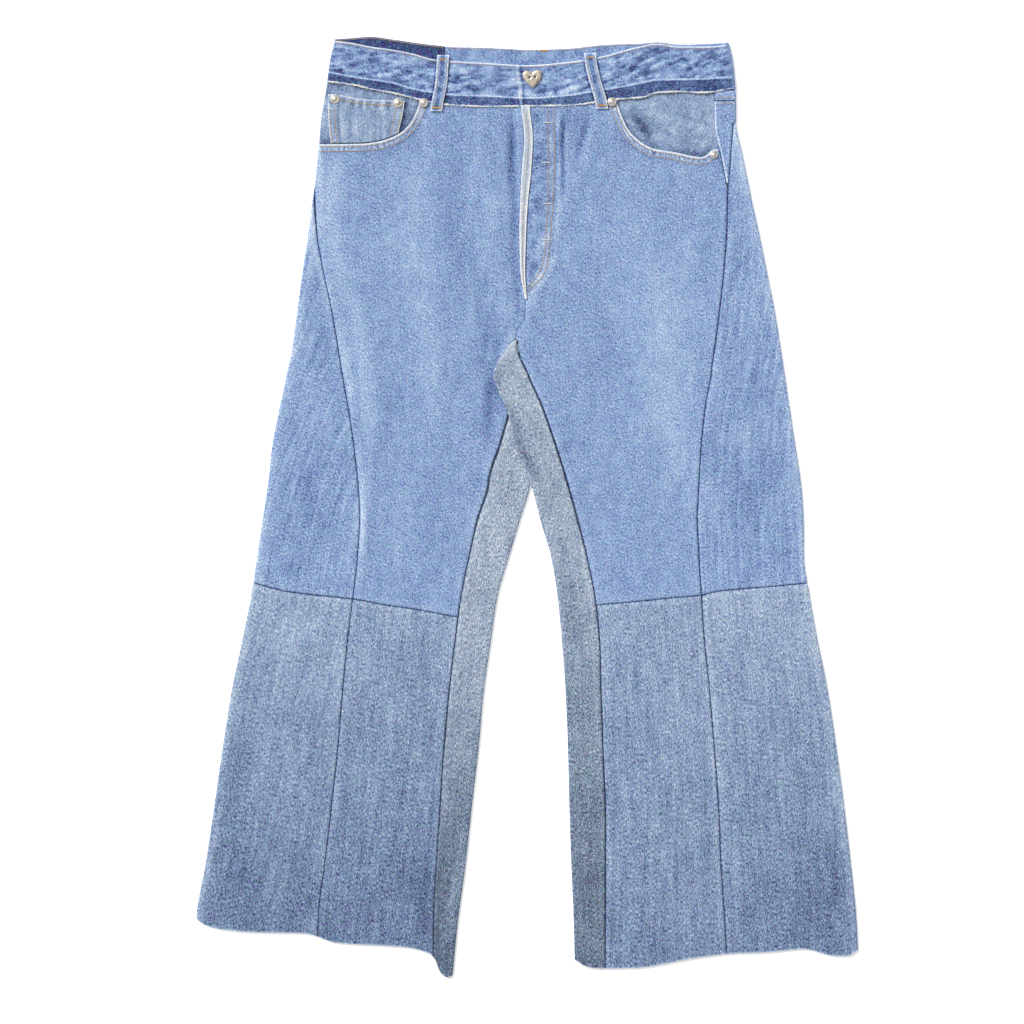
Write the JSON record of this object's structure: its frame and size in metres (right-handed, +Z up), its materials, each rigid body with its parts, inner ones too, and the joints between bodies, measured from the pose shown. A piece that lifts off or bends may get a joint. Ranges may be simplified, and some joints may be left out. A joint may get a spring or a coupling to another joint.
{
  "type": "flared jeans",
  "caption": "Cropped flared jeans of joined denim panels, laid flat with the front up, with a raw-edged waistband, a heart button, open pocket mouths and raw hems.",
  "frame": {"origin": "middle of the bounding box, on the surface that the jeans lie on", "axes": "+X towards the wearer's left, +Y from the hem to the waist, +Z up from the surface, on the side of the jeans' front"},
  "size_m": [0.694, 0.9852, 0.0088],
  "materials": {
    "denim_front": "worn mid-blue denim",
    "denim_side": "speckled mid-blue denim",
    "denim_inseam": "faded grey-blue denim, darker towards the hem",
    "denim_lower_outer": "mid-blue denim, darker towards the hem",
    "denim_lower_inner": "grey-blue denim, darker towards the hem",
    "denim_back": "mid-blue denim",
    "denim_band": "mid-blue denim with a raw unfaded lower edge",
    "denim_dark": "unfaded dark indigo denim",
    "denim_pocket": "light-blue denim",
    "denim_pale": "denim worn nearly white on a fold",
    "metal": "cast silver-coloured metal, worn"
  },
  "bodies": {
    "root": {"side_right": "denim_side", "side_left": "denim_side", "lower_outer_right": "denim_lower_outer", "lower_outer_left": "denim_lower_outer", "inseam_right": "denim_inseam", "inseam_left": "denim_inseam", "front_right": "denim_front", "front_left": "denim_front", "lower_inner_right": "denim_lower_inner", "lower_inner_left": "denim_lower_inner", "back_right": "denim_back", "back_left": "denim_back", "lower_back_right": "denim_lower_inner", "lower_back_left": "denim_lower_inner", "yoke_right": "denim_back", "yoke_left": "denim_back", "back_edge_left": "denim_back", "facing_right": "denim_pocket", "facing_left": "denim_pocket", "coin_pocket": "denim_pocket", "waistband_right": "denim_band", "waistband_left": "denim_band", "waistband_back_insert": "denim_dark", "waistband_back": "denim_band", "fly_strip": "denim_pale", "belt_loop_right": "denim_band", "belt_loop_left": "denim_band", "rivet_coin_outer": "metal", "rivet_coin_inner": "metal", "rivet_right": "metal", "rivet_left": "metal", "rivet_hip": "metal", "button": "metal"}
  },
  "joints": []
}
